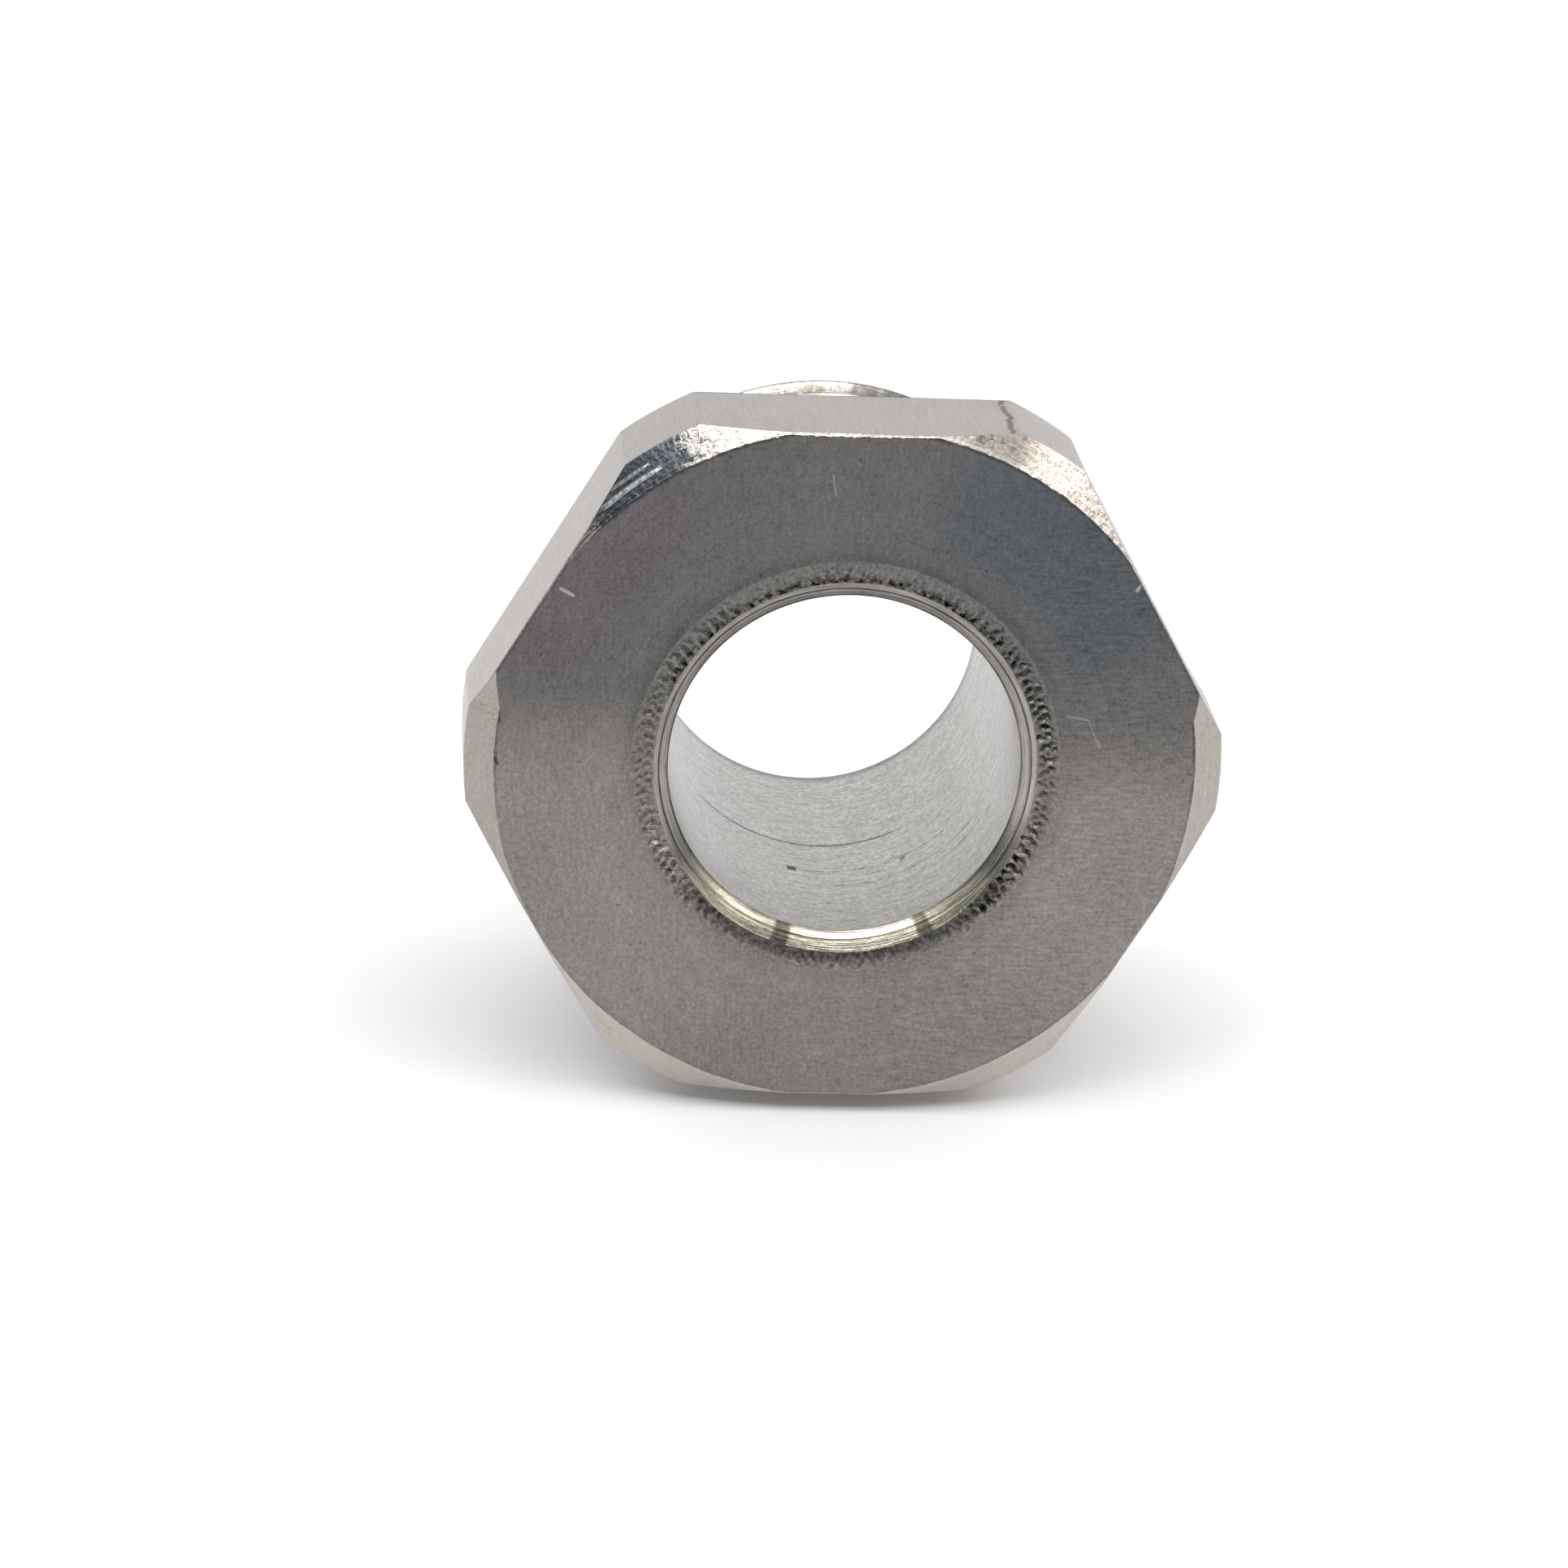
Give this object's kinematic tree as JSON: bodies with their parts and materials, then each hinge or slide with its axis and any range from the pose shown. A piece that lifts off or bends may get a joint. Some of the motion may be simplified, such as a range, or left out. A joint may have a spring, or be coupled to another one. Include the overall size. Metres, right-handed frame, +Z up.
{
  "type": "bulkhead pipe coupling",
  "caption": "Hexagon-headed panel coupling with a bore right through, a threaded shank, a gasket, a washer and a thin lock nut.",
  "frame": {"origin": "on the resting plane under the head's bottom flat, midway along the bore axis between the front face and the threaded end", "axes": "+Z up, +Y along the bore axis from the head's front face towards the threaded end, +X to the right seen from the front"},
  "size_m": [0.0294, 0.0194, 0.027],
  "materials": {
    "turned_stainless": "fine turned stainless steel, satin face, brighter chamfers",
    "gasket_rubber": "black moulded sealing rubber, matt",
    "washer_stainless": "stamped stainless steel, tumbled edges",
    "nut_stainless": "turned stainless steel"
  },
  "bodies": {
    "coupling": {"coupling_body": "turned_stainless", "head_gasket": "gasket_rubber"},
    "clamp_ring": {"flat_washer": "washer_stainless"},
    "nut": {"lock_nut": "nut_stainless"}
  },
  "joints": [
    {"name": "clamp_slide", "type": "slide", "parent": "coupling", "child": "clamp_ring", "axis": [0, 1, 0], "range_m": [0, 0.00726]},
    {"name": "nut_spin", "type": "hinge", "parent": "clamp_ring", "child": "nut", "pos_m": [0, 0, 0.0135], "axis": [0, 1, 0], "range_deg": [0, 1440]}
  ],
  "couplings": [
    {"joint": "clamp_slide", "follows": "nut_spin", "m_per_rad": 0.00028871}
  ]
}
